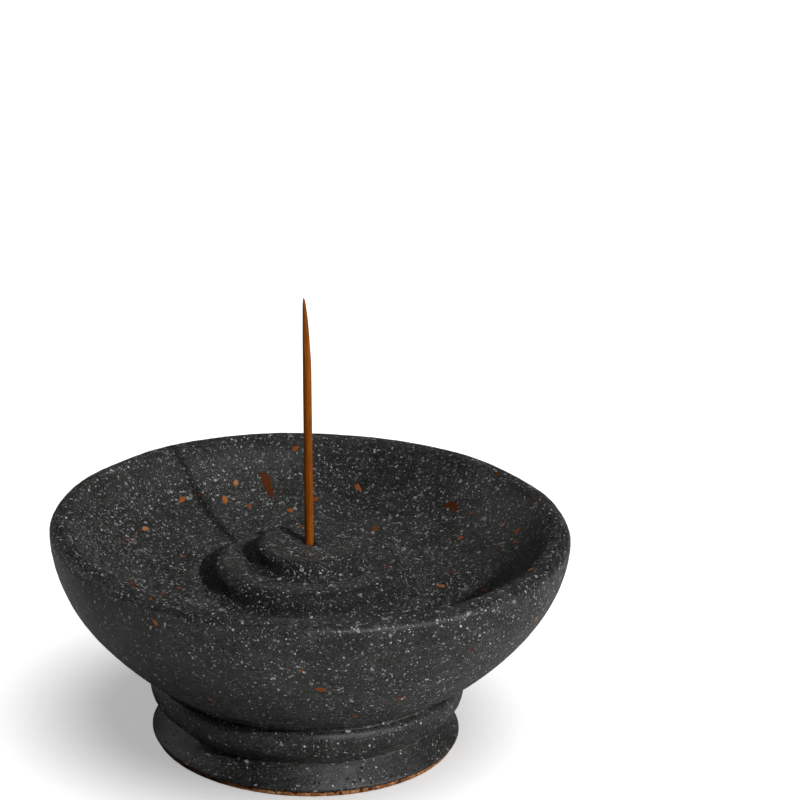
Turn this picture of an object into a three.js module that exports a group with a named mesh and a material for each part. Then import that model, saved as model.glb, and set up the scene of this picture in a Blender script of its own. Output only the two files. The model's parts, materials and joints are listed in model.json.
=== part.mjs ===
// An incense burner: a heavy cast bowl on a two-ring foot, with a stepped boss in the middle of its
// dish and a loose pointed bamboo pin standing in the boss's hole. A cork disc under the foot is
// held on by a film of adhesive.
// Millimetres, +Z up. The origin is the centre of the cork's underside and -Y is the front.

import * as THREE from "three";

// Cork and adhesive, from the table up.
const CORK_RADIUS = 35.2;
const CORK_THICKNESS = 1.3;
const FILM_RADIUS = 34.9;
const FILM_THICKNESS = 0.2;
const FOOT_BASE = CORK_THICKNESS + FILM_THICKNESS;

// Foot: two rounded rings with a groove between them, and a notch under the bowl. A roll is how far
// above or below its own point a ring's side keeps upright before it turns in.
const LOWER_RING = { edge: 35.9, radius: 36, height: 1.9, roll: 0.2 };
const GROOVE = { radius: 31.8, height: 6.7 };
const LIP = { radius: 35.6, height: 10, roll: 1.3 };
const UPPER_RING = { radius: 36.7, height: 13.8, roll: 2.2 };
const NOTCH = { radius: 35, height: 16.3 };

// Bowl: the outer wall springs from above the notch and is vertical at the widest point.
const BOWL_RADIUS = 60;
const WIDEST_HEIGHT = 51;
const SPRING = { radius: 36.1, height: 17.6, slope: THREE.MathUtils.degToRad(27), pull: 8.5 };
const WALL_PULL = 15.6;
const RIM_HEIGHT = 53;
const CREST_RADIUS = 56.7;

// Dish: flat round the boss, concave up to the turn, then convex to the crest of the rim. The pulls
// are how far each curve keeps the direction it has at its ends; at the turn that is 45 degrees.
const FLOOR_HEIGHT = 37.8;
const FLOOR_EDGE = 27;
const FLOOR_PULL = 11;
const TURN = { radius: 49.5, height: 47.3, pullIn: 6, pullOut: 2.8 };
const CREST_PULL = 2.1;

// Boss: two steps with rounded shoulders and coved feet. A step's radius is where the line of its
// side meets the level of its top, and its draft is how much wider that line is at its foot.
const LOWER_STEP = { radius: 22.1, top: 43.3, shoulder: 2.4, cove: 2.1, draft: 0.5 };
const UPPER_STEP = { radius: 12.3, top: 47.6, shoulder: 1.3, cove: 1.4, draft: 0.4 };
const HOLE_RADIUS = 1.25;
const HOLE_DEPTH = 10.5;
const HOLE_CHAMFER = 0.3;

// Pin: a bamboo rod whittled to a point, leaning in its loose hole towards -X.
const PIN_LENGTH = 70;
const PIN_RADIUS = 1.05;
const PIN_NECK_RADIUS = 1;
const TAPER_LENGTH = 18;
const TAPER_PULL = 8;
const TIP = { radius: 0.44, length: 2, roundRadius: 0.3, roundLength: 0.2 };
const TIP_OFFSET = 0.57;
const PIN_LEAN = THREE.MathUtils.degToRad(1.85);
const PIN_CLEARANCE = 0.04;

// How finely round stretches are cut.
const BOWL_SIDES = 64;
const PAD_SIDES = 64;
const PIN_SIDES = 20;
const CURVE_STEPS = 5;

// A solid of revolution about Z from an outline of [radius, height] points.
function turned(outline, sides) {
  return new THREE.LatheGeometry(outline, sides).rotateX(Math.PI / 2);
}

// Outline of a flat disc resting at a height.
function discOutline(radius, base, thickness) {
  return [
    new THREE.Vector2(0, base),
    new THREE.Vector2(radius, base),
    new THREE.Vector2(radius, base + thickness),
    new THREE.Vector2(0, base + thickness),
  ];
}

// The foot, from the centre of its underside out and up to the notch.
function drawFoot(path) {
  path.moveTo(0, FOOT_BASE);
  path.lineTo(LOWER_RING.edge, FOOT_BASE);
  path.quadraticCurveTo(LOWER_RING.radius, FOOT_BASE, LOWER_RING.radius, LOWER_RING.height);
  path.quadraticCurveTo(
    LOWER_RING.radius,
    LOWER_RING.height + LOWER_RING.roll,
    GROOVE.radius,
    GROOVE.height,
  );
  path.lineTo(LIP.radius, LIP.height);
  path.quadraticCurveTo(
    UPPER_RING.radius,
    LIP.height + LIP.roll,
    UPPER_RING.radius,
    UPPER_RING.height,
  );
  path.quadraticCurveTo(
    UPPER_RING.radius,
    UPPER_RING.height + UPPER_RING.roll,
    NOTCH.radius,
    NOTCH.height,
  );
}

// The outer wall and the rim's outer half, from the notch up to the crest.
function drawWall(path) {
  path.lineTo(SPRING.radius, SPRING.height);
  path.bezierCurveTo(
    SPRING.radius + SPRING.pull * Math.cos(SPRING.slope),
    SPRING.height + SPRING.pull * Math.sin(SPRING.slope),
    BOWL_RADIUS,
    WIDEST_HEIGHT - WALL_PULL,
    BOWL_RADIUS,
    WIDEST_HEIGHT,
  );
  const halfRim = BOWL_RADIUS - CREST_RADIUS;
  path.absellipse(CREST_RADIUS, WIDEST_HEIGHT, halfRim, RIM_HEIGHT - WIDEST_HEIGHT, 0, Math.PI / 2, false, 0);
}

// The dish, from the crest of the rim down and in to the floor round the boss.
function drawDish(path) {
  path.bezierCurveTo(
    CREST_RADIUS - CREST_PULL,
    RIM_HEIGHT,
    TURN.radius + TURN.pullOut,
    TURN.height + TURN.pullOut,
    TURN.radius,
    TURN.height,
  );
  path.bezierCurveTo(
    TURN.radius - TURN.pullIn,
    TURN.height - TURN.pullIn,
    FLOOR_EDGE + FLOOR_PULL,
    FLOOR_HEIGHT,
    FLOOR_EDGE,
    FLOOR_HEIGHT,
  );
}

// One step of the boss, from the level it stands on up to its flat top.
function drawStep(path, step, base) {
  const foot = step.radius + step.draft;
  const lean = step.draft / (step.top - base);
  path.lineTo(foot + step.cove, base);
  path.quadraticCurveTo(foot, base, foot - lean * step.cove, base + step.cove);
  path.lineTo(step.radius + lean * step.shoulder, step.top - step.shoulder);
  path.quadraticCurveTo(step.radius, step.top, step.radius - step.shoulder, step.top);
}

// The blind hole, from the boss's top down to its centre.
function drawHole(path) {
  const top = UPPER_STEP.top;
  path.lineTo(HOLE_RADIUS + HOLE_CHAMFER, top);
  path.lineTo(HOLE_RADIUS, top - HOLE_CHAMFER);
  path.lineTo(HOLE_RADIUS, top - HOLE_DEPTH);
  path.lineTo(0, top - HOLE_DEPTH);
}

function bowlGeometry() {
  const path = new THREE.Path();
  drawFoot(path);
  drawWall(path);
  drawDish(path);
  drawStep(path, LOWER_STEP, FLOOR_HEIGHT);
  drawStep(path, UPPER_STEP, LOWER_STEP.top);
  drawHole(path);
  return turned(path.getPoints(CURVE_STEPS), BOWL_SIDES);
}

// The pin stands on its cut end at the local origin. Its taper is whittled more on the +X side, so
// the point sits off the axis.
function pinGeometry() {
  const taperStart = PIN_LENGTH - TAPER_LENGTH;
  const path = new THREE.Path();
  path.moveTo(0, 0);
  path.lineTo(PIN_RADIUS, 0);
  path.lineTo(PIN_NECK_RADIUS, taperStart);
  path.quadraticCurveTo(
    PIN_NECK_RADIUS,
    taperStart + TAPER_PULL,
    TIP.radius,
    PIN_LENGTH - TIP.length,
  );
  path.quadraticCurveTo(TIP.roundRadius, PIN_LENGTH - TIP.roundLength, 0, PIN_LENGTH);
  const geometry = turned(path.getPoints(CURVE_STEPS), PIN_SIDES);
  const position = geometry.getAttribute("position");
  for (let i = 0; i < position.count; i += 1) {
    const share = Math.max(0, position.getZ(i) - taperStart) / TAPER_LENGTH;
    position.setX(i, position.getX(i) - TIP_OFFSET * share ** 2);
  }
  return geometry;
}

// Where the pin's cut end stands: its lowest edge just clears the hole's bottom, and its side just
// clears the hole's mouth on the side it leans to.
function pinFoot() {
  const mouth = UPPER_STEP.top - HOLE_CHAMFER;
  const bottom = UPPER_STEP.top - HOLE_DEPTH;
  const height = bottom + PIN_RADIUS * Math.sin(PIN_LEAN) + PIN_CLEARANCE;
  const atMouth = PIN_RADIUS / Math.cos(PIN_LEAN) + PIN_CLEARANCE - HOLE_RADIUS;
  return new THREE.Vector3(atMouth + (mouth - height) * Math.tan(PIN_LEAN), 0, height);
}

const terrazzo = new THREE.MeshStandardMaterial({ color: 0x3a3a38, roughness: 0.82, metalness: 0 });
const cork = new THREE.MeshStandardMaterial({ color: 0xb9764a, roughness: 0.95, metalness: 0 });
const adhesive = new THREE.MeshStandardMaterial({ color: 0xe6ddc8, roughness: 0.5, metalness: 0 });
const bamboo = new THREE.MeshStandardMaterial({ color: 0x9a5a1c, roughness: 0.6, metalness: 0 });

const burner = new THREE.Group();

function add(name, geometry, material) {
  const mesh = new THREE.Mesh(geometry, material);
  mesh.name = name;
  burner.add(mesh);
  return mesh;
}

add("bowl", bowlGeometry(), terrazzo);
add("cork_pad", turned(discOutline(CORK_RADIUS, 0, CORK_THICKNESS), PAD_SIDES), cork);
add("adhesive_film", turned(discOutline(FILM_RADIUS, CORK_THICKNESS, FILM_THICKNESS), PAD_SIDES), adhesive);

const pin = add("bamboo_pin", pinGeometry(), bamboo);
pin.position.copy(pinFoot());
pin.rotation.y = -PIN_LEAN;

export default burner;
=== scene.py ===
# Looks of the incense burner: a cast terrazzo bowl with a stepped boss and a two-ring foot, brick
# chips and pale stones ground flush in its surface, a cork disc on a film of adhesive under the
# foot, and a whittled bamboo pin standing loosely in the boss's hole.
# Sizes are in millimetres times MM. +Z is up and -Y is the front, as in the CAD frame.
import json
import math
import random

import bmesh
import bpy
import numpy as np
from mathutils import Euler, Matrix, Vector


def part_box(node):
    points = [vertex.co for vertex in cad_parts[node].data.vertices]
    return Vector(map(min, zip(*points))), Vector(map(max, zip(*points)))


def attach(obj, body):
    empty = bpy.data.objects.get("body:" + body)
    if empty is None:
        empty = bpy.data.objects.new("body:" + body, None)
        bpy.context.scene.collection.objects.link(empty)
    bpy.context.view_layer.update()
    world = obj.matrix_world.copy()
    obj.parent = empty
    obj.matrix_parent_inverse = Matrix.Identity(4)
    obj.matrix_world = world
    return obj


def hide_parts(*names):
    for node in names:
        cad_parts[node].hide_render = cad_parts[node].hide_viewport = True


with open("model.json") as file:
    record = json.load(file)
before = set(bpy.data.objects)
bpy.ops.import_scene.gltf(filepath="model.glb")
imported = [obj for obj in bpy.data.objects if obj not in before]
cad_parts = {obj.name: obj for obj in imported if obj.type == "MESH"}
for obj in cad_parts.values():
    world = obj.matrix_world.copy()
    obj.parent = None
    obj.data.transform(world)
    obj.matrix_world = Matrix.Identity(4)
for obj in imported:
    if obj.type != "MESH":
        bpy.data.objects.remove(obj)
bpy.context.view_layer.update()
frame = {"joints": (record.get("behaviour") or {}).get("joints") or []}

MM = 0.001

# ------------------------------------------------------------------ the bowl's outline, in mm

bowl_low, bowl_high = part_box("bowl")
FOOT_BASE = bowl_low.z / MM
RIM_HEIGHT = bowl_high.z / MM
BOWL_RADIUS = bowl_high.x / MM
LOWER_RING = {"edge": 35.9, "radius": 36.0, "height": 1.9, "roll": 0.2}
GROOVE = {"radius": 31.8, "height": 6.7}
LIP = {"radius": 35.6, "height": 10.0, "roll": 1.3}
UPPER_RING = {"radius": 36.7, "height": 13.8, "roll": 2.2}
NOTCH = {"radius": 35.0, "height": 16.3}
SPRING = {"radius": 36.1, "height": 17.6, "slope": math.radians(27), "pull": 8.5}
WIDEST_HEIGHT = 51.0
WALL_PULL = 15.6
CREST_RADIUS = 56.7
CREST_PULL = 2.1
TURN = {"radius": 49.5, "height": 47.3, "pull_in": 6.0, "pull_out": 2.8}
FLOOR_HEIGHT = 37.8
FLOOR_EDGE = 27.0
FLOOR_PULL = 11.0
LOWER_STEP = {"radius": 22.1, "top": 43.3, "shoulder": 2.4, "cove": 2.1, "draft": 0.5}
UPPER_STEP = {"radius": 12.3, "top": 47.6, "shoulder": 1.3, "cove": 1.4, "draft": 0.4}
HOLE = {"radius": 1.25, "depth": 10.5, "chamfer": 0.3}

# Segments round the bowl outside and on the boss, where circles are small.
OUTER_SEGMENTS = 480
INNER_SEGMENTS = 240
CURVE_SAMPLES = 80
# How far a Bezier curve keeps its end directions to follow a quarter of an ellipse.
ELLIPSE_PULL = 0.5523


def bezier(points, share):
    """The point of a Bezier curve at a share of its run."""
    points = np.array(points, float)
    while len(points) > 1:
        points = points[:-1] * (1 - share) + points[1:] * share
    return points[0]


def along_curve(points, spacing):
    """Points of a Bezier curve about spacing apart, without its last one."""
    fine = np.array([bezier(points, i / CURVE_SAMPLES) for i in range(CURVE_SAMPLES + 1)])
    steps = np.hypot(*np.diff(fine, axis=0).T)
    run = np.concatenate([[0], np.cumsum(steps)])
    count = max(1, round(run[-1] / spacing))
    wanted = np.linspace(0, run[-1], count + 1)[:-1]
    return np.column_stack([np.interp(wanted, run, fine[:, k]) for k in (0, 1)])


def foot_outline():
    """The foot, from near the middle of its underside out and up to the notch."""
    edge = (LOWER_RING["edge"], FOOT_BASE)
    bulge, dip, lip, crown, notch = (
        (part["radius"], part["height"]) for part in (LOWER_RING, GROOVE, LIP, UPPER_RING, NOTCH)
    )
    above_bulge = (bulge[0], bulge[1] + LOWER_RING["roll"])
    above_lip = (crown[0], lip[1] + LIP["roll"])
    above_crown = (crown[0], crown[1] + UPPER_RING["roll"])
    return [
        ("under", 2.5, [(0.5, FOOT_BASE), edge]),
        ("foot", 0.2, [edge, (bulge[0], FOOT_BASE), bulge]),
        ("foot", 0.4, [bulge, above_bulge, dip]),
        ("foot", 0.4, [dip, lip]),
        ("foot", 0.4, [lip, above_lip, crown]),
        ("foot", 0.4, [crown, above_crown, notch]),
    ]


def wall_outline():
    """The outer wall and the rim, from the notch up to the crest."""
    start = (SPRING["radius"], SPRING["height"])
    pull = SPRING["pull"]
    leave = (start[0] + pull * math.cos(SPRING["slope"]), start[1] + pull * math.sin(SPRING["slope"]))
    widest = (BOWL_RADIUS, WIDEST_HEIGHT)
    above_widest = (BOWL_RADIUS, WIDEST_HEIGHT + ELLIPSE_PULL * (RIM_HEIGHT - WIDEST_HEIGHT))
    beside_crest = (CREST_RADIUS + ELLIPSE_PULL * (BOWL_RADIUS - CREST_RADIUS), RIM_HEIGHT)
    crest = (CREST_RADIUS, RIM_HEIGHT)
    return [
        ("wall", 0.4, [(NOTCH["radius"], NOTCH["height"]), start]),
        ("wall", 0.62, [start, leave, (BOWL_RADIUS, WIDEST_HEIGHT - WALL_PULL), widest]),
        ("rim", 0.4, [widest, above_widest, beside_crest, crest]),
    ]


def dish_outline():
    """The dish, from the crest of the rim in to the floor round the boss."""
    crest = (CREST_RADIUS, RIM_HEIGHT)
    turn = (TURN["radius"], TURN["height"])
    floor = (FLOOR_EDGE, FLOOR_HEIGHT)
    above_turn = (turn[0] + TURN["pull_out"], turn[1] + TURN["pull_out"])
    below_turn = (turn[0] - TURN["pull_in"], turn[1] - TURN["pull_in"])
    return [
        ("rim", 0.45, [crest, (crest[0] - CREST_PULL, crest[1]), above_turn, turn]),
        ("dish", 0.62, [turn, below_turn, (floor[0] + FLOOR_PULL, floor[1]), floor]),
    ]


def step_outline(start, step):
    """One step of the boss, from a point on the level it stands on to its flat top."""
    base = start[1]
    foot = step["radius"] + step["draft"]
    lean = step["draft"] / (step["top"] - base)
    cove = (foot - lean * step["cove"], base + step["cove"])
    side = (step["radius"] + lean * step["shoulder"], step["top"] - step["shoulder"])
    top = (step["radius"] - step["shoulder"], step["top"])
    return [
        ("boss", 0.6, [start, (foot + step["cove"], base)]),
        ("side", 0.3, [(foot + step["cove"], base), (foot, base), cove]),
        ("side", 0.4, [cove, side]),
        ("side", 0.3, [side, (step["radius"], step["top"]), top]),
    ]


def hole_outline(start):
    """The boss's flat top, in to the mouth of the blind hole and down to near its centre."""
    radius, chamfer, top = HOLE["radius"], HOLE["chamfer"], UPPER_STEP["top"]
    mouth = (radius + chamfer, top)
    throat = (radius, top - chamfer)
    bottom = (radius, top - HOLE["depth"])
    return [
        ("boss", 0.6, [start, mouth]),
        ("hole", 0.2, [mouth, throat]),
        ("hole", 2.0, [throat, bottom]),
        ("hole", 1.0, [bottom, (0.3, bottom[1])]),
    ]


class Outline:
    """The bowl's outline as points in order, with the run along it and the outward normal."""

    def __init__(self):
        curves = foot_outline() + wall_outline() + dish_outline()
        curves += step_outline((FLOOR_EDGE, FLOOR_HEIGHT), LOWER_STEP)
        lower_top = (LOWER_STEP["radius"] - LOWER_STEP["shoulder"], LOWER_STEP["top"])
        curves += step_outline(lower_top, UPPER_STEP)
        curves += hole_outline((UPPER_STEP["radius"] - UPPER_STEP["shoulder"], UPPER_STEP["top"]))
        rows = [along_curve(points, spacing) for _, spacing, points in curves]
        self.region = np.array([name for (name, _, _), row in zip(curves, rows) for _ in row])
        self.points = np.vstack(rows)
        steps = np.hypot(*np.diff(self.points, axis=0).T)
        self.run = np.concatenate([[0], np.cumsum(steps)])
        tangent = np.gradient(self.points, self.run, axis=0)
        normal = np.column_stack([tangent[:, 1], -tangent[:, 0]])
        self.normal = normal / np.linalg.norm(normal, axis=1)[:, None]

    def run_at(self, region, column, value):
        """The run of the point of a region whose radius (column 0) or height (1) is nearest."""
        inside = np.flatnonzero(self.region == region)
        nearest = inside[np.argmin(np.abs(self.points[inside, column] - value))]
        return self.run[nearest]

    def at(self, run, azimuth):
        """Places and outward normals on the undented surface, in mm."""
        radius, height = (np.interp(run, self.run, self.points[:, k]) for k in (0, 1))
        out, up = (np.interp(run, self.run, self.normal[:, k]) for k in (0, 1))
        cosine, sine = np.cos(azimuth), np.sin(azimuth)
        place = np.stack([radius * cosine, radius * sine, height], axis=-1)
        normal = np.stack([out * cosine, out * sine, up], axis=-1)
        return place, normal / np.linalg.norm(normal, axis=-1)[..., None]


outline = Outline()

# ------------------------------------------------------------------ hand-made unevenness


class Waves:
    """A smooth random field: a sum of seeded sine waves that run in all directions."""

    def __init__(self, seed, count, shortest, longest):
        draw = np.random.default_rng(seed)
        direction = draw.normal(size=(count, 3))
        direction /= np.linalg.norm(direction, axis=1)[:, None]
        length = np.exp(draw.uniform(math.log(shortest), math.log(longest), count))
        self.wave = direction * (2 * math.pi / length)[:, None]
        self.phase = draw.uniform(0, 2 * math.pi, count)
        self.size = math.sqrt(2 / count)

    def at(self, place):
        return np.sin(place @ self.wave.T + self.phase).sum(axis=-1) * self.size


HAND_WAVE = Waves(seed=11, count=24, shortest=22, longest=60)
HAND_WAVE_SIZE = 0.1
CAST_GRAIN = Waves(seed=12, count=60, shortest=2.2, longest=6)
CAST_GRAIN_SIZE = 0.018


def uneven(place, normal):
    """The surface with the caster's slight waviness, kept off the outermost and resting faces."""
    lift = HAND_WAVE_SIZE * HAND_WAVE.at(place) + CAST_GRAIN_SIZE * CAST_GRAIN.at(place)
    radius = np.hypot(place[..., 0], place[..., 1])
    rest = np.clip((place[..., 2] - FOOT_BASE) / 1.5, 0, 1)
    shaft = np.clip((radius - HOLE["radius"]) / 1.5, 0, 1)
    return place + normal * (lift * rest * shaft)[..., None]


# ------------------------------------------------------------------ mesh helpers


def new_object(name, vertices, faces, smooth=True):
    mesh = bpy.data.meshes.new(name)
    mesh.from_pydata([tuple(v) for v in np.asarray(vertices) * MM], [], faces)
    mesh.update()
    if smooth:
        mesh.shade_smooth()
    else:
        mesh.shade_flat()
    piece = bpy.data.objects.new(name, mesh)
    bpy.context.scene.collection.objects.link(piece)
    return piece


def paint(piece, name, values):
    """Stores one number for each vertex, which the piece's material reads by name."""
    layer = piece.data.attributes.new(name, "FLOAT", "POINT")
    layer.data.foreach_set("value", np.asarray(values, np.float32))


def ring_faces(outer, inner):
    """Faces between two rings of vertex numbers, the inner with as many as the outer or half."""
    count = len(outer)
    faces = []
    if len(inner) == count:
        for i in range(count):
            j = (i + 1) % count
            faces.append((outer[i], outer[j], inner[j], inner[i]))
        return faces
    for i in range(len(inner)):
        a, b, c = outer[2 * i], outer[2 * i + 1], outer[(2 * i + 2) % count]
        p, q = inner[i], inner[(i + 1) % len(inner)]
        faces += [(a, b, p), (b, q, p), (b, c, q)]
    return faces


def stacked_rings(count, segments):
    """Vertex numbers of rings stacked one on another, and the faces between them."""
    rings = [range(i * segments, (i + 1) * segments) for i in range(count)]
    faces = [face for below, above in zip(rings[:-1], rings[1:]) for face in ring_faces(below, above)]
    return rings, faces


# ------------------------------------------------------------------ the bowl

# By region, how thickly the pale aggregate shows, how light the cement is painted, and how many air pits it
# has.
# The dish and the boss's tops are ground, so more aggregate shows; the outside and the steps keep their
# skin.
# The middle table is painted light and shade, partly also the darker skin: the boss's tops are painted
# lighter, the steps' sides darker, and the hole darker still as painted shade.
EXPOSURE = {
    "under": 0.2,
    "foot": 0.3,
    "wall": 0.5,
    "rim": 0.85,
    "dish": 1.0,
    "boss": 1.0,
    "side": 0.8,
    "hole": 0.2,
}
# Painted light and shade: the boss's tops lighter, the steps' sides and the hole darker, as the light falls
# on them.
PAINTED_LIGHT_AND_SHADE = {
    "under": 1.0,
    "foot": 0.95,
    "wall": 0.95,
    "rim": 1.0,
    "dish": 1.0,
    "boss": 1.35,
    "side": 0.62,
    "hole": 0.4,
}
PIT_SHARE = {
    "under": 0.0,
    "foot": 1.0,
    "wall": 0.55,
    "rim": 0.2,
    "dish": 0.12,
    "boss": 0.12,
    "side": 0.3,
    "hole": 0.0,
}
EXPOSURE_BLUR = 1.6
PAINTED_LIGHT_AND_SHADE_BLUR = 0.5
PIT_SEED = 21
PIT_COUNT = 46
PIT_RADIUS = (0.32, 0.75)


def spread_by_region(table, blur=EXPOSURE_BLUR):
    """A region table as one number for each outline point, blurred over some mm of the run."""
    raw = np.array([table[name] for name in outline.region])
    soft = np.empty_like(raw)
    for i, run in enumerate(outline.run):
        weight = np.exp(-(((outline.run - run) / blur) ** 2))
        soft[i] = (weight * raw).sum() / weight.sum()
    return soft


def pit_places():
    """Seeded places of the larger air pits, most of them on the foot and the lower wall."""
    draw = random.Random(PIT_SEED)
    low, high = outline.run_at("foot", 1, FOOT_BASE + 1), outline.run_at("wall", 1, 40)
    pits = []
    for _ in range(PIT_COUNT):
        run = low + (high - low) * draw.random() ** 1.4
        azimuth = draw.uniform(0, 2 * math.pi)
        radius = draw.uniform(*PIT_RADIUS) * draw.uniform(0.6, 1)
        pits.append((outline.at(run, azimuth)[0], radius))
    return pits


def refine_near(piece, spots):
    """Splits the faces round each (place, radius) spot, so that a pit has vertices to show it."""
    grid = bmesh.new()
    grid.from_mesh(piece.data)
    centres = np.array([place for place, _ in spots]) * MM
    reach = np.array([radius for _, radius in spots]) * 1.5 * MM
    chosen = set()
    for face in grid.faces:
        middle = np.array(face.calc_center_median())
        if (np.linalg.norm(centres - middle, axis=1) < reach).any():
            chosen.update(face.edges)
    bmesh.ops.subdivide_edges(grid, edges=list(chosen), cuts=3, use_grid_fill=True)
    grid.to_mesh(piece.data)
    grid.free()


def dent(piece, spots):
    """Sinks a rounded pit at each spot."""
    count = len(piece.data.vertices)
    place = np.empty(count * 3)
    piece.data.vertices.foreach_get("co", place)
    place = place.reshape(-1, 3) / MM
    normal = np.empty(count * 3)
    piece.data.vertices.foreach_get("normal", normal)
    normal = normal.reshape(-1, 3)
    for centre, radius in spots:
        away = np.linalg.norm(place - centre, axis=1) / radius
        near = away < 1
        depth = 1.1 * radius * (1 - away[near] ** 2) ** 1.5
        place[near] -= normal[near] * depth[:, None]
    piece.data.vertices.foreach_set("co", (place * MM).ravel())
    piece.data.update()


def make_bowl():
    rings = []
    places = []
    first = 0
    for run, radius in zip(outline.run, outline.points[:, 0]):
        on_boss = run > outline.run_at("dish", 0, FLOOR_EDGE)
        under = run < outline.run_at("foot", 0, LOWER_RING["edge"]) - 1
        count = INNER_SEGMENTS if on_boss or under else OUTER_SEGMENTS
        azimuth = np.arange(count) * (2 * math.pi / count)
        place, normal = outline.at(np.full(count, run), azimuth)
        places.append(uneven(place, normal))
        rings.append(range(first, first + count))
        first += count
    faces = []
    for below, above in zip(rings[:-1], rings[1:]):
        if len(above) <= len(below):
            faces += ring_faces(below, above)
        else:
            faces += [tuple(reversed(face)) for face in ring_faces(above, below)]
    faces.append(tuple(reversed(rings[0])))
    faces.append(tuple(rings[-1]))
    piece = new_object("terrazzo_bowl", np.vstack(places), faces)
    counts = [len(ring) for ring in rings]
    paint(piece, "exposure", np.repeat(spread_by_region(EXPOSURE), counts))
    # Painted light and shade for each vertex, by region.
    paint(piece, "painted_light_and_shade", np.repeat(spread_by_region(PAINTED_LIGHT_AND_SHADE, PAINTED_LIGHT_AND_SHADE_BLUR), counts))
    paint(piece, "pitting", np.repeat(spread_by_region(PIT_SHARE), counts))
    pits = pit_places()
    refine_near(piece, pits)
    dent(piece, pits)
    return piece


# ------------------------------------------------------------------ chips and stones in the casting

# Brick chips scattered in each region: how many, and the length of the longest in mm.
CHIP_GROUPS = {
    "dish": (44, 3.6),
    "rim": (9, 2.8),
    "boss": (3, 1.5),
    "wall": (20, 3.0),
    "foot": (3, 1.3),
}
CHIP_SHORTEST = 1.1
CHIP_SLIMNESS = (0.35, 0.85)
CHIP_TONE = (0.53, 0.17)
CHIP_GAP = 1.5
CHIP_SEED = 31
# Two large burnt chips high in the dish, placed like the hours on a clock with twelve at the back:
# hour, length and width in mm, turn in degrees from the way round the bowl, bend.
SLIVER_CHIP = (11.5, 8.0, 2.4, 80, 0)
CURLED_CHIP = (1.5, 5.5, 2.1, 0, -1.3)
LARGE_CHIP_RADIUS = FLOOR_EDGE + 0.85 * (TURN["radius"] - FLOOR_EDGE)
LARGE_CHIP_TONE = 0.15

STONE_SEED = 41
STONE_COUNT = 190
STONE_LENGTH = (0.7, 1.4)

# A grain stands this proud of the casting at its middle and its edge, and reaches this deep.
GRAIN_CROWN = 0.03
GRAIN_EDGE = 0.008
GRAIN_DEPTH = 0.35
GRAIN_STEP = 1.1


class Grains:
    """Crushed grains ground flush in the bowl: closed solids whose tops follow its surface."""

    def __init__(self):
        self.places = []
        self.faces = []
        self.tones = []

    def shape(self, draw, bend):
        """A broken outline in a box from -1 to 1 each way."""
        corners = draw.randint(6, 9)
        start = draw.uniform(0, 1)
        points = []
        for i in range(corners):
            angle = 2 * math.pi * (i + start + draw.uniform(-0.28, 0.28)) / corners
            reach = draw.uniform(0.88, 1.2)
            points.append(np.array([reach * math.cos(angle), reach * math.sin(angle)]))
        edge = []
        for here, there in zip(points, points[1:] + points[:1]):
            for share in (0, 0.33, 0.67):
                point = here * (1 - share) + there * share
                edge.append(point * (1 + draw.uniform(-0.03, 0.07)))
        edge = np.array(edge)
        edge[:, 1] += bend * (edge[:, 0] ** 2 - 0.4)
        return edge

    def add(self, run, azimuth, length, width, turn, tone, draw, outward=1, bend=0):
        """One grain at a run and azimuth. outward is 1 where the run grows towards the rim."""
        half = self.shape(draw, bend) * (length / 2, width / 2)
        cosine, sine = math.cos(turn), math.sin(turn)
        flat = half @ np.array([[cosine, sine], [-sine, cosine]])
        middle = flat.mean(axis=0)
        radius = np.interp(run, outline.run, outline.points[:, 0])
        steps = max(2, math.ceil(length / 2 / GRAIN_STEP))
        shares = [i / steps for i in range(1, steps)] + [0.93, 1.0, 0.85]
        lifts = [GRAIN_CROWN] * steps + [GRAIN_EDGE, -GRAIN_DEPTH]
        rows = [(middle[None, :], GRAIN_CROWN)]
        rows += [(middle + (flat - middle) * share, lift) for share, lift in zip(shares, lifts)]
        rows.append((middle[None, :], -GRAIN_DEPTH))
        first = len(self.places)
        for row, lift in rows:
            place, normal = outline.at(run + outward * row[:, 1], azimuth + row[:, 0] / radius)
            place = uneven(place, normal) + normal * lift
            self.places += list(place)
        self.tones += [tone] * (len(self.places) - first)
        self.close(first, len(rows), len(flat), outward)

    def close(self, first, row_count, width, outward):
        """Fans at the middle of the top and bottom, and bands between."""
        faces = []
        band = [range(first + 1 + i * width, first + 1 + (i + 1) * width) for i in range(row_count - 2)]
        last = len(self.places) - 1
        for i in range(width):
            j = (i + 1) % width
            faces.append((first, band[0][i], band[0][j]))
            for inner, outer in zip(band[:-1], band[1:]):
                faces.append((inner[i], outer[i], outer[j], inner[j]))
            faces.append((last, band[-1][j], band[-1][i]))
        self.faces += faces if outward > 0 else [tuple(reversed(face)) for face in faces]

    def piece(self, name):
        made = new_object(name, np.array(self.places), self.faces)
        paint(made, "tone", self.tones)
        return made


def facing(run):
    """1 where the run grows towards the rim, -1 where it grows away from it."""
    return 1 if run < outline.run_at("rim", 0, CREST_RADIUS) else -1


def scatter(draw, region):
    """A seeded run and azimuth in a region, as likely anywhere by area."""
    runs = outline.run[outline.region == region]
    while True:
        run = draw.uniform(runs[0], runs[-1])
        azimuth = draw.uniform(0, 2 * math.pi)
        nearest = outline.region[np.abs(outline.run - run).argmin()]
        radius = np.interp(run, outline.run, outline.points[:, 0])
        if nearest == region and draw.random() < radius / BOWL_RADIUS:
            return run, azimuth


def add_large_chip(grains, draw, chip):
    """One placed chip; returns the middle of it and how much room it takes."""
    hour, length, width, turn, bend = chip
    run = outline.run_at("dish", 0, LARGE_CHIP_RADIUS)
    azimuth = math.radians(90 - 30 * hour)
    grains.add(run, azimuth, length, width, math.radians(turn), LARGE_CHIP_TONE, draw, -1, bend)
    return outline.at(run, azimuth)[0], length / 2


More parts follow.
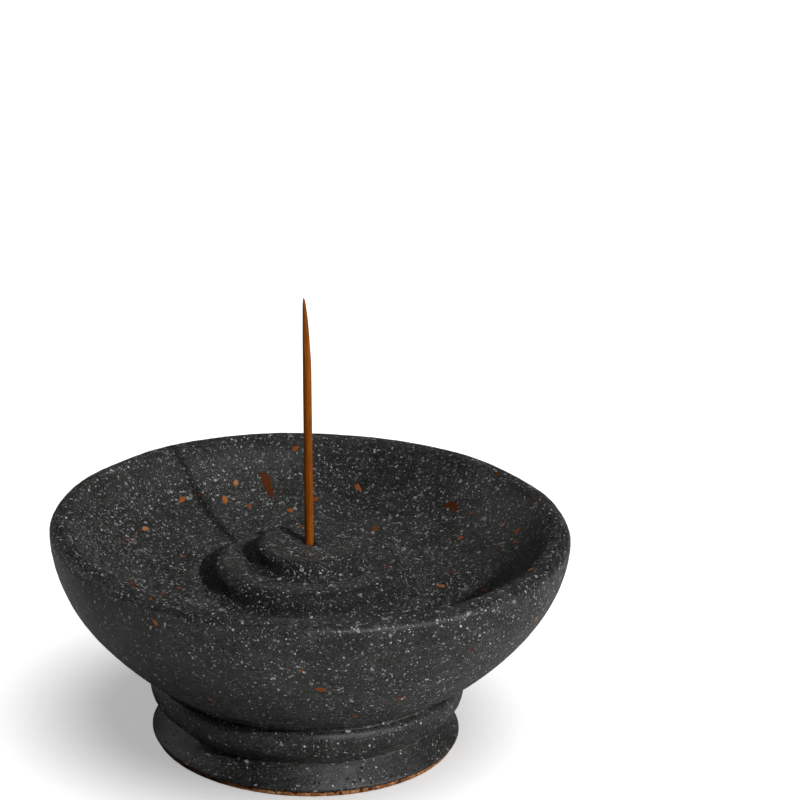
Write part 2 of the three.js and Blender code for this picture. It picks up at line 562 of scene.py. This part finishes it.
def make_chips():
    draw = random.Random(CHIP_SEED)
    grains = Grains()
    hole = np.array([0, 0, UPPER_STEP["top"]])
    taken = [(hole, HOLE["radius"])]
    taken += [add_large_chip(grains, draw, chip) for chip in (SLIVER_CHIP, CURLED_CHIP)]
    for region, (count, longest) in CHIP_GROUPS.items():
        left = count
        while left:
            run, azimuth = scatter(draw, region)
            length = CHIP_SHORTEST + (longest - CHIP_SHORTEST) * draw.random() ** 2
            middle = outline.at(run, azimuth)[0]
            if any(math.dist(middle, other) < reach + length / 2 + CHIP_GAP for other, reach in taken):
                continue
            width = length * draw.uniform(*CHIP_SLIMNESS)
            tone = min(1, max(0, draw.gauss(*CHIP_TONE)))
            turn = draw.uniform(0, math.pi)
            grains.add(run, azimuth, length, width, turn, tone, draw, facing(run))
            taken.append((middle, length / 2))
            left -= 1
    return grains.piece("brick_chips")


def make_stones():
    """Larger pale stones, spread evenly over the surface by area."""
    draw = random.Random(STONE_SEED)
    grains = Grains()
    low, high = outline.run_at("foot", 1, FOOT_BASE + 2), outline.run_at("boss", 0, 3)
    left = STONE_COUNT
    while left:
        run = draw.uniform(low, high)
        radius = np.interp(run, outline.run, outline.points[:, 0])
        if draw.random() > radius / BOWL_RADIUS:
            continue
        length = draw.uniform(*STONE_LENGTH) * draw.uniform(0.7, 1)
        width = length * draw.uniform(0.55, 0.95)
        azimuth = draw.uniform(0, 2 * math.pi)
        turn = draw.uniform(0, math.pi)
        grains.add(run, azimuth, length, width, turn, draw.random(), draw, facing(run))
        left -= 1
    return grains.piece("pale_stones")


# ------------------------------------------------------------------ cork pad and adhesive film

PAD_SEGMENTS = 360
PAD_NICKS = Waves(seed=51, count=60, shortest=0.9, longest=3.5)
CORK_CORNER = 0.25
CORK_NICK = 0.07
CORK_SIDE_ROWS = 9
FILM_CORNER = 0.03
FILM_NICK = 0.05
FILM_SIDE_ROWS = 3


def make_disc(name, node, corner, nick, side_rows):
    """A thin disc in its CAD node's box, its rim rounded by corner and nicked inwards."""
    low, high = (np.array(v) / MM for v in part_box(node))
    radius, base, top = high[0], low[2], high[2]
    levels = np.linspace(0, 1, side_rows)
    inset = corner * (1 - np.sqrt(np.clip(1 - (2 * levels - 1) ** 4, 0, 1)))
    rows = [(share * (radius - corner), base) for share in (0.05, 0.4, 0.8)]
    rows += [(radius - cut, base + (top - base) * level) for cut, level in zip(inset, levels)]
    rows += [(share * (radius - corner), top) for share in (0.8, 0.4, 0.05)]
    angle = np.arange(PAD_SEGMENTS) * (2 * math.pi / PAD_SEGMENTS)
    places = []
    for row, (reach, height) in enumerate(rows):
        ring = np.column_stack([np.cos(angle) * reach, np.sin(angle) * reach, np.full_like(angle, height)])
        on_side = 3 <= row < 3 + side_rows
        bite = nick * (0.5 + 0.5 * np.clip(PAD_NICKS.at(ring), -1, 1)) if on_side else 0 * angle
        ring[:, :2] *= (1 - bite / max(reach, 1))[:, None]
        places.append(ring)
    rings, faces = stacked_rings(len(rows), PAD_SEGMENTS)
    faces.append(tuple(reversed(rings[0])))
    faces.append(tuple(rings[-1]))
    return new_object(name, np.vstack(places), faces)


def make_cork():
    return make_disc("cork_disc", "cork_pad", CORK_CORNER, CORK_NICK, CORK_SIDE_ROWS)


def make_film():
    return make_disc("adhesive_bond", "adhesive_film", FILM_CORNER, FILM_NICK, FILM_SIDE_ROWS)


# ------------------------------------------------------------------ bamboo pin

PIN_LENGTH = 70.0
PIN_RADIUS = 1.05
PIN_NECK_RADIUS = 1.0
TAPER_LENGTH = 18.0
TAPER_PULL = 8.0
TIP = {"radius": 0.44, "length": 2.0, "round_radius": 0.3, "round_length": 0.2}
TIP_OFFSET = 0.57
PIN_SEGMENTS = 64
PIN_ROWS = 240
WHITTLE_CUTS = 7
FIBRE_DEPTH = 0.016
FIBRE_SEED = 61
# How much the rows of the pin crowd towards its point, and how far its cut end is bevelled.
ROW_CROWDING = 1.3
END_BEVEL = 0.12


def pin_radius(height):
    """The pin's radius at a height above its cut end."""
    taper = PIN_LENGTH - TAPER_LENGTH
    shaft = PIN_RADIUS + (PIN_NECK_RADIUS - PIN_RADIUS) * min(height / taper, 1)
    if height <= taper:
        return shaft
    left = PIN_LENGTH - height
    shoulder = (TIP["length"], TIP["radius"])
    turn_in = (TAPER_LENGTH - TAPER_PULL, PIN_NECK_RADIUS)
    point = [(0, 0), (TIP["round_length"], TIP["round_radius"]), shoulder]
    flank = [shoulder, turn_in, (TAPER_LENGTH, PIN_NECK_RADIUS)]
    tip = [bezier(point, i / 12) for i in range(12)]
    body = [bezier(flank, i / 24) for i in range(25)]
    curve = np.array(tip + body)
    return float(np.interp(left, curve[:, 0], curve[:, 1]))


def whittled(angle, taper_share):
    """How far inside the round each knife cut takes the surface, as a share of the radius."""
    step = 2 * math.pi / WHITTLE_CUTS
    away = (angle + 0.9 * taper_share) % step - step / 2
    flat = math.cos(step / 2) / np.cos(away)
    return 1 - (1 - flat) * min(1, taper_share * 3)


def pin_stand():
    """Takes the pin from upright at the origin to its place, leaning in the hole."""
    low, high = (np.array(v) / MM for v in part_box("bamboo_pin"))
    lift = next(j for j in frame["joints"] if j["child"] == "pin")
    axis = Vector(lift["axis"]).normalized()
    lean = math.asin(-axis.x)
    foot = Vector((high[0] - PIN_RADIUS * math.cos(lean), 0, low[2] + PIN_RADIUS * math.sin(lean)))
    return Matrix.Translation(foot) @ Matrix.Rotation(-lean, 4, "Y")


def pin_rings():
    """Rings of places up the pin, standing upright, with its fibres and knife cuts."""
    angle = np.arange(PIN_SEGMENTS) * (2 * math.pi / PIN_SEGMENTS)
    draw = np.random.default_rng(FIBRE_SEED)
    fibre = draw.uniform(0, 1, PIN_SEGMENTS)
    drift = draw.uniform(0, 1, PIN_SEGMENTS)
    tips = np.linspace(0, 1, PIN_ROWS)
    heights = PIN_LENGTH * (1 - (1 - tips) ** ROW_CROWDING)
    places = []
    for height in heights[:-1]:
        share = max(0, height - (PIN_LENGTH - TAPER_LENGTH)) / TAPER_LENGTH
        grain = FIBRE_DEPTH * (fibre * (1 - height / PIN_LENGTH) + drift * height / PIN_LENGTH)
        end = END_BEVEL if height == 0 else 0
        reach = pin_radius(height) * whittled(angle, share) - grain * min(1, pin_radius(height)) - end
        ring = np.column_stack([reach * np.cos(angle), reach * np.sin(angle), np.full_like(angle, height)])
        ring[:, 0] -= TIP_OFFSET * share**2
        places.append(ring)
    return places


def make_pin():
    places = pin_rings()
    rings, faces = stacked_rings(len(places), PIN_SEGMENTS)
    tip = len(places) * PIN_SEGMENTS
    faces += [(rings[-1][i], rings[-1][(i + 1) % PIN_SEGMENTS], tip) for i in range(PIN_SEGMENTS)]
    faces.append(tuple(reversed(rings[0])))
    places.append(np.array([[-TIP_OFFSET, 0, PIN_LENGTH]]))
    stand = pin_stand()
    placed = [tuple(stand @ Vector(place)) for place in np.vstack(places)]
    return new_object("bamboo_pin_whittled", np.array(placed), faces)


# ------------------------------------------------------------------ materials


class Shader:
    """A material under construction, with object coordinates in millimetres to hand."""

    def __init__(self, name):
        self.material = bpy.data.materials.new(name)
        self.material.use_nodes = True
        self.tree = self.material.node_tree
        self.surface = self.tree.nodes["Principled BSDF"]
        place = self.tree.nodes.new("ShaderNodeTexCoord").outputs["Object"]
        self.place = self.maths_vector("SCALE", place, scale=1 / MM)

    def put(self, value, socket):
        """Links an output to a socket, or sets the socket to a plain value."""
        if isinstance(value, bpy.types.NodeSocket):
            self.tree.links.new(value, socket)
        elif value is not None:
            socket.default_value = value

    def maths(self, operation, a, b=None, c=None, clamp=False):
        node = self.tree.nodes.new("ShaderNodeMath")
        node.operation = operation
        node.use_clamp = clamp
        for value, socket in zip((a, b, c), node.inputs):
            self.put(value, socket)
        return node.outputs[0]

    def maths_vector(self, operation, a, b=None, scale=None):
        node = self.tree.nodes.new("ShaderNodeVectorMath")
        node.operation = operation
        self.put(a, node.inputs[0])
        self.put(b, node.inputs[1])
        self.put(scale, node.inputs[3])
        return node.outputs["Value" if operation in ("LENGTH", "DOT_PRODUCT") else "Vector"]

    def noise(self, size, detail=2.0, rough=0.5, place=None, colour=False):
        """Smooth noise from 0 to 1 with features about size mm across."""
        node = self.tree.nodes.new("ShaderNodeTexNoise")
        self.put(place or self.place, node.inputs["Vector"])
        node.inputs["Scale"].default_value = 1 / size
        node.inputs["Detail"].default_value = detail
        node.inputs["Roughness"].default_value = rough
        return node.outputs["Color" if colour else "Fac"]

    def cells(self, size, place=None, feature="F1"):
        """Cells about size mm across: the distance to a cell's middle and its random colour."""
        node = self.tree.nodes.new("ShaderNodeTexVoronoi")
        node.feature = feature
        self.put(place or self.place, node.inputs["Vector"])
        node.inputs["Scale"].default_value = 1 / size
        return node.outputs["Distance"], node.outputs.get("Color")

    def channels(self, colour):
        node = self.tree.nodes.new("ShaderNodeSeparateColor")
        self.put(colour, node.inputs[0])
        return node.outputs

    def smooth(self, value, low, high, to_low=0.0, to_high=1.0):
        """A smooth step of value from low to high."""
        node = self.tree.nodes.new("ShaderNodeMapRange")
        node.interpolation_type = "SMOOTHSTEP"
        for number, key in ((low, "From Min"), (high, "From Max"), (to_low, "To Min"), (to_high, "To Max")):
            self.put(number, node.inputs[key])
        self.put(value, node.inputs["Value"])
        return node.outputs["Result"]

    def mix(self, share, a, b, blend="MIX"):
        node = self.tree.nodes.new("ShaderNodeMix")
        node.data_type = "RGBA"
        node.blend_type = blend
        self.put(share, node.inputs[0])
        self.put(a, node.inputs[6])
        self.put(b, node.inputs[7])
        return node.outputs[2]

    def ramp(self, value, stops):
        """A colour ramp through (position, colour) stops."""
        node = self.tree.nodes.new("ShaderNodeValToRGB")
        elements = node.color_ramp.elements
        while len(elements) < len(stops):
            elements.new(0.5)
        for element, (position, colour) in zip(elements, stops):
            element.position = position
            element.color = (*colour, 1)
        self.put(value, node.inputs[0])
        return node.outputs[0]

    def grey(self, value):
        node = self.tree.nodes.new("ShaderNodeCombineColor")
        for socket in node.inputs:
            self.put(value, socket)
        return node.outputs[0]

    def painted(self, name):
        node = self.tree.nodes.new("ShaderNodeAttribute")
        node.attribute_name = name
        return node.outputs["Fac"]

    def jittered(self, size, amount):
        """The place in mm, pushed about by noise, so that cells lose their round look."""
        push = self.maths_vector("SUBTRACT", self.noise(size, 1.0, colour=True), (0.5, 0.5, 0.5))
        return self.maths_vector("ADD", self.place, self.maths_vector("SCALE", push, scale=amount))

    def round_the_axis(self, squeeze):
        """The place in mm with the way round the axis squeezed, for marks that run round it."""
        flat = self.maths_vector("MULTIPLY", self.place, (1, 1, 0))
        radius = self.maths_vector("LENGTH", flat)
        node = self.tree.nodes.new("ShaderNodeCombineXYZ")
        self.put(radius, node.inputs[0])
        squeezed = self.maths_vector("SCALE", self.place, scale=squeeze)
        return self.maths_vector("ADD", squeezed, node.outputs[0])

    def bump(self, height, distance, strength=1.0):
        node = self.tree.nodes.new("ShaderNodeBump")
        node.inputs["Distance"].default_value = distance * MM
        node.inputs["Strength"].default_value = strength
        self.put(height, node.inputs["Height"])
        self.put(node.outputs[0], self.surface.inputs["Normal"])

    def finish(self, colour, roughness, specular=0.5, gritty=0.0):
        """The finished material. A gritty one sends light back the way it came, as sand does."""
        self.put(colour, self.surface.inputs["Base Color"])
        self.put(roughness, self.surface.inputs["Roughness"])
        self.put(gritty, self.surface.inputs["Diffuse Roughness"])
        self.put(specular, self.surface.inputs["Specular IOR Level"])
        return self.material


def grain_lottery(shader, place, size, chance, seed_shift):
    """Cells that may hold a grain: a shifted place, the distance to a cell's middle, which cells
    hold one, and two random numbers for each cell."""
    shifted = shader.maths_vector("ADD", place, (seed_shift, 2 * seed_shift, 3 * seed_shift))
    distance, colour = shader.cells(size, shifted)
    red, green, blue = shader.channels(colour)[:3]
    return shifted, distance, shader.maths("LESS_THAN", red, chance), green, blue


def flecks(shader, place, size, chance, seed_shift, small=0.12, large=0.45):
    """Fine round grains: a mask and a random number for each grain's brightness."""
    _, distance, there, green, blue = grain_lottery(shader, place, size, chance, seed_shift)
    radius = shader.maths("MULTIPLY_ADD", green, large - small, small)
    inside = shader.smooth(shader.maths("SUBTRACT", radius, distance), -0.06, 0.08)
    return shader.maths("MULTIPLY", inside, there), blue


def shards(shader, place, size, chance, seed_shift):
    """Broken, angular grains: a mask and a random number for each grain's brightness."""
    shifted, _, there, green, blue = grain_lottery(shader, place, size, chance, seed_shift)
    edge, _ = shader.cells(size, shifted, "DISTANCE_TO_EDGE")
    gap = shader.maths("MULTIPLY_ADD", green, 0.24, 0.05)
    inside = shader.smooth(shader.maths("SUBTRACT", edge, gap), -0.02, 0.05)
    return shader.maths("MULTIPLY", inside, there), blue


# The aggregate that only the material shows, finest first: kind of grain, size of its cell in mm,
# the share of cells that hold one, the seed, and the reflectance of the dullest and palest grain.
AGGREGATE = [
    (flecks, 0.4, 0.6, 3.1, 0.03, 0.65),
    (shards, 0.5, 0.3, 7.7, 0.03, 0.75),
    (shards, 0.85, 0.08, 13.3, 0.04, 0.5),
    (shards, 1.5, 0.02, 29.9, 0.05, 0.3),
]
# How strongly the palest grains stand out among the dull ones.
BRIGHT_SHARE = 2.6


# Painted shade: the small pits drawn by the material have only a bump and no depth, so they are coloured
# near black as the inside of a hole looks.
PIT_SHADE_COLOUR = (0.003, 0.003, 0.003, 1)


def cement_colour(shader, mottle, painted_light_and_shade):
    """Charcoal cement: fine mottling, with broad clouds and faint streaks round the axis, times the painted
    light and shade of each region.
    """
    cloud = shader.noise(9.0, 3.0)
    streak = shader.noise(0.55, 2.0, 0.6, place=shader.round_the_axis(0.15))
    tone = shader.maths("MULTIPLY_ADD", shader.maths("SUBTRACT", cloud, 0.5), 0.2, mottle)
    tone = shader.maths("MULTIPLY_ADD", shader.maths("SUBTRACT", streak, 0.5), 0.22, tone)
    colour = shader.ramp(
        tone,
        [
            (0.4, (0.003, 0.003, 0.0026)),
            (0.5, (0.0155, 0.0157, 0.0142)),
            (0.6, (0.075, 0.0755, 0.071)),
        ],
    )
    # Painted light and shade: lighter on the boss's tops, darker on the steps' sides and in the hole.
    return shader.mix(1.0, colour, shader.grey(painted_light_and_shade), "MULTIPLY")


def with_aggregate(shader, colour, exposure):
    """The cement with its fine grains, thicker where more of the casting is ground away."""
    place = shader.jittered(0.3, 0.4)
    for kind, size, chance, seed_shift, dull, bright in AGGREGATE:
        likely = shader.maths("MULTIPLY", exposure, chance)
        mask, blue = kind(shader, place, size, likely, seed_shift)
        level = shader.maths("MULTIPLY_ADD", shader.maths("POWER", blue, BRIGHT_SHARE), bright - dull, dull)
        colour = shader.mix(mask, colour, shader.grey(level))
    return colour


def terrazzo_material():
    shader = Shader("charcoal_terrazzo")
    exposure = shader.painted("exposure")
    # Painted light and shade, by region.
    painted_light_and_shade = shader.painted("painted_light_and_shade")
    mottle = shader.noise(0.36, 3.0, 0.8)
    colour = with_aggregate(shader, cement_colour(shader, mottle, painted_light_and_shade), exposure)
    pit_chance = shader.maths("MULTIPLY", shader.painted("pitting"), 0.5)
    pits, _ = flecks(shader, shader.place, 1.5, pit_chance, 47.1, 0.08, 0.24)
    # Painted shade inside the small pits.
    colour = shader.mix(pits, colour, PIT_SHADE_COLOUR)
    grain = shader.noise(0.35, 3.0, 0.6)
    height = shader.maths("MULTIPLY_ADD", pits, -2.0, grain)
    shader.bump(height, 0.12, 0.7)
    skin = shader.maths("SUBTRACT", 1.0, painted_light_and_shade, clamp=True)
    roughness = shader.maths("MULTIPLY_ADD", exposure, 0.1, 0.25)
    roughness = shader.maths("MULTIPLY_ADD", mottle, 0.3, roughness)
    roughness = shader.maths("MULTIPLY_ADD", skin, 0.6, roughness)
    return shader.finish(colour, roughness, 0.5, gritty=1.0)


def brick_material():
    shader = Shader("brick_chip")
    tone = shader.painted("tone")
    crumb = shader.noise(0.35, 4.0, 0.7)
    shade = shader.maths("MULTIPLY_ADD", shader.maths("SUBTRACT", crumb, 0.5), 0.35, tone)
    colour = shader.ramp(
        shade,
        [
            (0.0, (0.05, 0.012, 0.002)),
            (0.3, (0.16, 0.036, 0.004)),
            (0.5, (0.31, 0.085, 0.014)),
            (0.8, (0.52, 0.23, 0.09)),
            (1.0, (0.58, 0.36, 0.24)),
        ],
    )
    specks, _ = flecks(shader, shader.jittered(0.4, 0.3), 0.5, 0.3, 5.0, 0.1, 0.35)
    colour = shader.mix(shader.maths("MULTIPLY", specks, 0.55), colour, (0.05, 0.025, 0.015, 1))
    shader.bump(crumb, 0.06, 0.6)
    return shader.finish(colour, shader.maths("MULTIPLY_ADD", crumb, 0.2, 0.65), 0.2)


def stone_material():
    shader = Shader("pale_stone")
    tone = shader.painted("tone")
    cloud = shader.noise(0.5, 4.0, 0.7)
    shade = shader.maths("MULTIPLY_ADD", shader.maths("SUBTRACT", cloud, 0.5), 0.8, tone)
    colour = shader.ramp(
        shade,
        [
            (0.0, (0.06, 0.062, 0.056)),
            (0.4, (0.11, 0.115, 0.1)),
            (0.75, (0.19, 0.19, 0.18)),
            (1.0, (0.4, 0.4, 0.38)),
        ],
    )
    shader.bump(cloud, 0.04, 0.5)
    return shader.finish(colour, shader.maths("MULTIPLY_ADD", cloud, 0.2, 0.4), 0.5)


def cork_material():
    shader = Shader("granulated_cork")
    place = shader.jittered(0.8, 0.5)
    distance, colour = shader.cells(1.0, place)
    red, green, _ = shader.channels(colour)[:3]
    crumb = shader.noise(0.3, 4.0, 0.7)
    shade = shader.maths("MULTIPLY_ADD", crumb, 0.5, shader.maths("MULTIPLY", red, 0.5))
    granule = shader.ramp(
        shade,
        [
            (0.15, (0.2, 0.06, 0.018)),
            (0.4, (0.4, 0.15, 0.05)),
            (0.65, (0.56, 0.26, 0.1)),
            (0.9, (0.68, 0.42, 0.22)),
        ],
    )
    edge, _ = shader.cells(1.0, place, "DISTANCE_TO_EDGE")
    seam = shader.smooth(edge, 0.0, 0.09, 0.75, 0.0)
    dark = shader.smooth(green, 0.84, 0.9)
    granule = shader.mix(dark, granule, (0.09, 0.03, 0.012, 1))
    granule = shader.mix(seam, granule, (0.11, 0.035, 0.012, 1))
    relief = shader.maths("MULTIPLY_ADD", crumb, 0.5, shader.smooth(edge, 0.0, 0.15))
    shader.bump(relief, 0.16, 0.7)
    return shader.finish(granule, 0.9, 0.2)


def adhesive_material():
    shader = Shader("cloudy_adhesive")
    cloud = shader.noise(2.2, 3.0)
    colour = shader.ramp(cloud, [(0.3, (0.42, 0.34, 0.22)), (0.7, (0.62, 0.55, 0.42))])
    shader.bump(shader.noise(0.6, 2.0), 0.05, 0.5)
    return shader.finish(colour, shader.maths("MULTIPLY_ADD", cloud, 0.3, 0.25), 0.5)


def bamboo_material():
    shader = Shader("stained_bamboo")
    long_way = shader.maths_vector("MULTIPLY", shader.place, (1, 1, 0.03))
    fibre = shader.noise(0.16, 3.0, 0.65, place=long_way)
    band = shader.noise(0.7, 2.0, 0.5, place=long_way)
    blotch = shader.noise(6.0, 3.0)
    shade = shader.maths("MULTIPLY_ADD", fibre, 0.5, shader.maths("MULTIPLY", band, 0.3))
    shade = shader.maths("MULTIPLY_ADD", blotch, 0.2, shade)
    colour = shader.ramp(
        shade,
        [
            (0.3, (0.11, 0.026, 0.001)),
            (0.5, (0.3, 0.074, 0.002)),
            (0.7, (0.5, 0.15, 0.008)),
        ],
    )
    shader.bump(fibre, 0.05, 0.6)
    return shader.finish(colour, shader.maths("MULTIPLY_ADD", fibre, 0.25, 0.45), 0.15)


FLOOR_GLOW = 0.42


def floor_material():
    """White paper: to the camera it glows a little, so that the shadows on it stay soft and pale,
    and to the light that bounces onto the burner it is a mid grey."""
    shader = Shader("studio_paper")
    tooth = shader.noise(3.0, 3.0)
    seen = shader.ramp(tooth, [(0.0, (0.86, 0.86, 0.86)), (1.0, (0.9, 0.9, 0.9))])
    camera_ray = shader.tree.nodes.new("ShaderNodeLightPath").outputs["Is Camera Ray"]
    colour = shader.mix(camera_ray, (0.36, 0.36, 0.36, 1), seen)
    shader.put((1, 1, 1, 1), shader.surface.inputs["Emission Color"])
    shader.put(shader.maths("MULTIPLY", camera_ray, FLOOR_GLOW), shader.surface.inputs["Emission Strength"])
    return shader.finish(colour, 0.95, 0.1)


# ------------------------------------------------------------------ assembly


def assemble(piece, material, body, node):
    piece.data.materials.append(material)
    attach(piece, body)
    if node:
        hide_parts(node)
    return piece


pieces = [
    assemble(make_bowl(), terrazzo_material(), "burner", "bowl"),
    assemble(make_chips(), brick_material(), "burner", None),
    assemble(make_stones(), stone_material(), "burner", None),
    assemble(make_cork(), cork_material(), "burner", "cork_pad"),
    assemble(make_film(), adhesive_material(), "burner", "adhesive_film"),
    assemble(make_pin(), bamboo_material(), "pin", "bamboo_pin"),
]

# ------------------------------------------------------------------ stage, lights and camera

FLOOR_SIZE = 8.0
# In mm, so that the floor and the cork's underside are not in one plane.
FLOOR_DROP = 0.05
# Each sun: azimuth and elevation it shines from, angle it fills, all in degrees, and its strength.
# The floor has a sun of its own, so that it stays white without washing out the dark stone.
BURNER_SUNS = {
    "key": (-53, 33, 2.5, 1.7),
    "right": (-5, 35, 25, 0.18),
    "low_side": (-25, 4, 24, 1.15),
    "high_back": (75, 55, 40, 0.15),
    "left": (150, 24, 14, 0.22),
}
SKY_STRENGTH = 0.012
FLOOR_SUNS = {
    "floor": (-40, 72, 60, 3.5),
}

CAMERA_PLACE = (19.74, -743.49, 355.12)
CAMERA_PITCH = math.radians(20.08)
CAMERA_ROLL = math.radians(1.81)
CAMERA_LENS = 156.7
CAMERA_SENSOR = 36.0


def make_floor():
    half = FLOOR_SIZE / 2 / MM
    around = [(-half, -half), (half, -half), (half, half), (-half, half)]
    corners = [(x, y, -FLOOR_DROP) for x, y in around]
    floor = new_object("floor", corners, [(0, 1, 2, 3)], smooth=False)
    floor.data.materials.append(floor_material())
    return floor


def make_suns(suns, lit):
    """Sun lamps that light only the given objects, though everything casts shadows in them."""
    receivers = bpy.data.collections.new("lit")
    for piece in lit:
        receivers.objects.link(piece)
    for name, (azimuth, elevation, spread, strength) in suns.items():
        lamp = bpy.data.lights.new(name, "SUN")
        lamp.energy = strength
        lamp.angle = math.radians(spread)
        holder = bpy.data.objects.new(name, lamp)
        azimuth, elevation = math.radians(azimuth), math.radians(elevation)
        level = math.cos(elevation)
        source = (level * math.cos(azimuth), level * math.sin(azimuth), math.sin(elevation))
        holder.rotation_euler = Vector(source).to_track_quat("Z", "Y").to_euler()
        holder.light_linking.receiver_collection = receivers
        bpy.context.scene.collection.objects.link(holder)


def make_sky():
    world = bpy.data.worlds.new("studio")
    world.use_nodes = True
    background = world.node_tree.nodes["Background"]
    background.inputs["Color"].default_value = (1, 1, 1, 1)
    background.inputs["Strength"].default_value = SKY_STRENGTH
    bpy.context.scene.world = world


def make_camera():
    data = bpy.data.cameras.new("camera")
    data.sensor_width = CAMERA_SENSOR
    data.lens = CAMERA_LENS
    data.clip_start = 0.01
    camera = bpy.data.objects.new("camera", data)
    turn = Euler((math.pi / 2 - CAMERA_PITCH, 0, 0)).to_matrix().to_4x4()
    roll = Matrix.Rotation(CAMERA_ROLL, 4, "Z")
    camera.matrix_world = Matrix.Translation(Vector(CAMERA_PLACE) * MM) @ turn @ roll
    bpy.context.scene.collection.objects.link(camera)
    bpy.context.scene.camera = camera


floor = make_floor()
make_suns(BURNER_SUNS, pieces)
make_suns(FLOOR_SUNS, [floor])
make_sky()
make_camera()
bpy.context.scene.view_settings.view_transform = "Standard"
